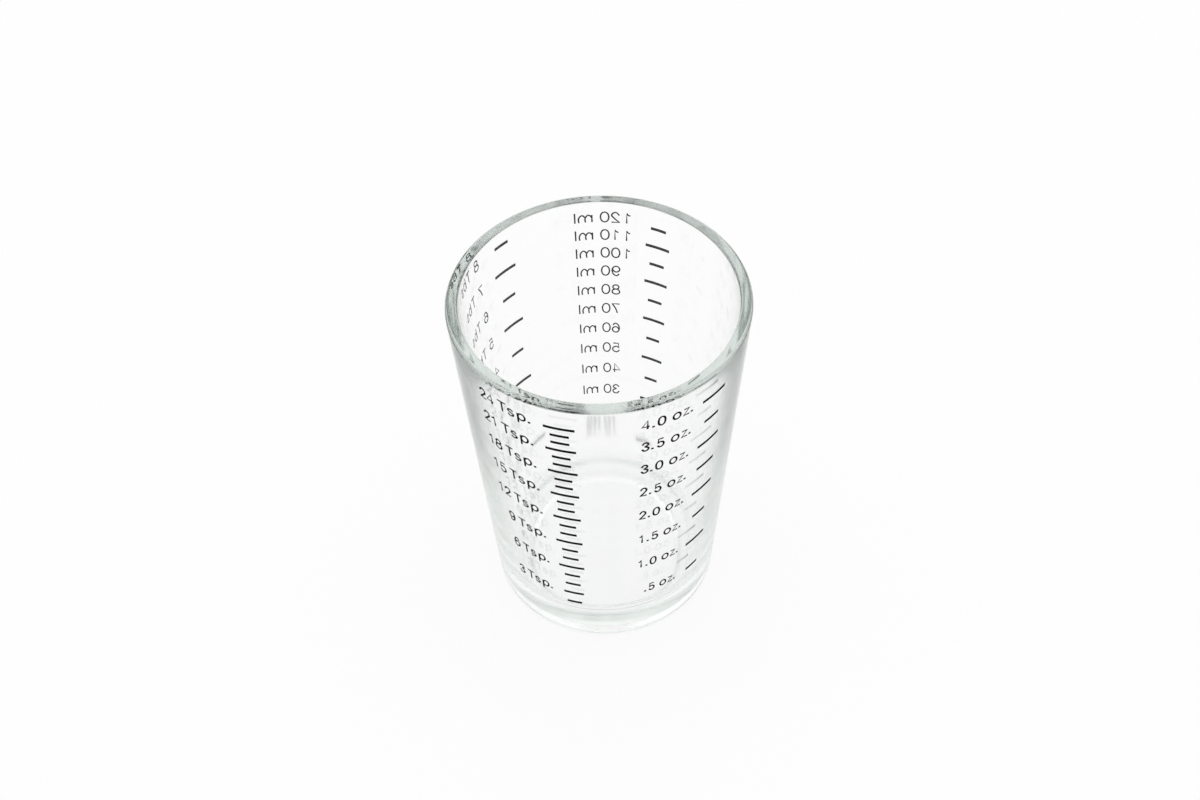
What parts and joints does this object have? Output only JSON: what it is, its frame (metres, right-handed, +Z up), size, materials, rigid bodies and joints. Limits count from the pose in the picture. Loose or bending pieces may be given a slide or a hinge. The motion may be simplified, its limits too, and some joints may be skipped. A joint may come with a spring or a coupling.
{
  "type": "measuring glass",
  "caption": "Small tapered pressed-glass tumbler with a thick floor and printed teaspoon, fluid ounce, millilitre and tablespoon scales for measuring liquids.",
  "frame": {"origin": "centre of the ring that the glass stands on, on the table plane", "axes": "+Z up along the axis of the glass; -Y faces the pictured front, between the teaspoon and ounce scales; +X to the right"},
  "size_m": [0.0592, 0.0592, 0.08],
  "materials": {
    "clear_glass": "clear pressed soda-lime glass, fire-polished, with a faint green tint",
    "black_enamel": "black fired enamel, semi-gloss"
  },
  "bodies": {
    "root": {"glass_body": "clear_glass", "teaspoon_scale": "black_enamel", "ounce_scale": "black_enamel", "millilitre_scale": "black_enamel", "tablespoon_scale": "black_enamel"}
  },
  "joints": []
}
